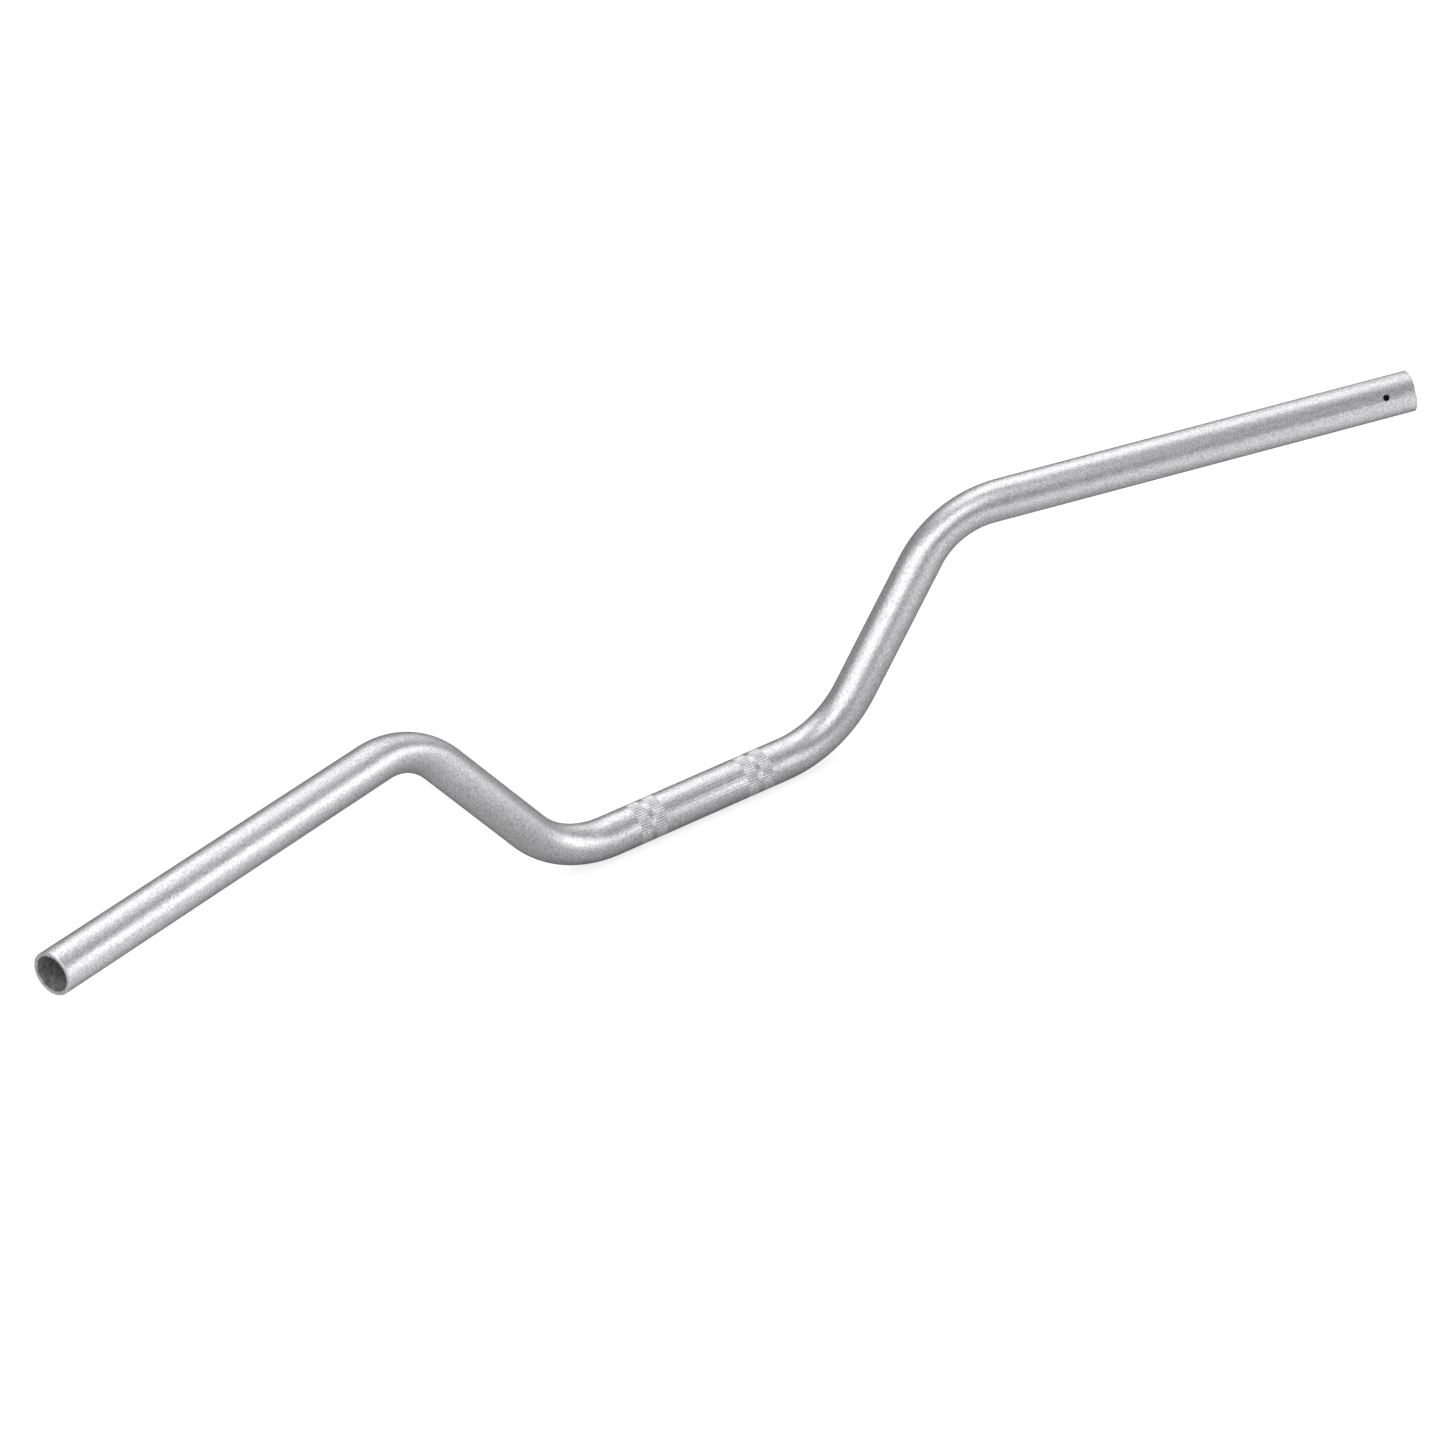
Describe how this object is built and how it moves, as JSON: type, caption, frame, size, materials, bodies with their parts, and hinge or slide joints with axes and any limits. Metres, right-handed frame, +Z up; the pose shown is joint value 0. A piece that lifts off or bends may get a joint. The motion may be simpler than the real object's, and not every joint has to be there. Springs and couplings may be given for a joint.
{
  "type": "motorcycle handlebar",
  "caption": "Bent tubular motorcycle handlebar, raised and swept back, with knurled clamp bands, straight grip ends, open bores and a locating pin hole.",
  "frame": {"origin": "middle of the clamp section, on the tube's axis", "axes": "+X to the rider's right along the clamp section, +Y forward, +Z up; the clamp section and both risers lie in the XZ plane and the grips sweep back towards -Y"},
  "size_m": [0.8214, 0.1096, 0.1544],
  "materials": {
    "silver_tube": "satin metallic silver with a fine, sparkling grain"
  },
  "bodies": {
    "root": {"handlebar_tube": "silver_tube"}
  },
  "joints": []
}
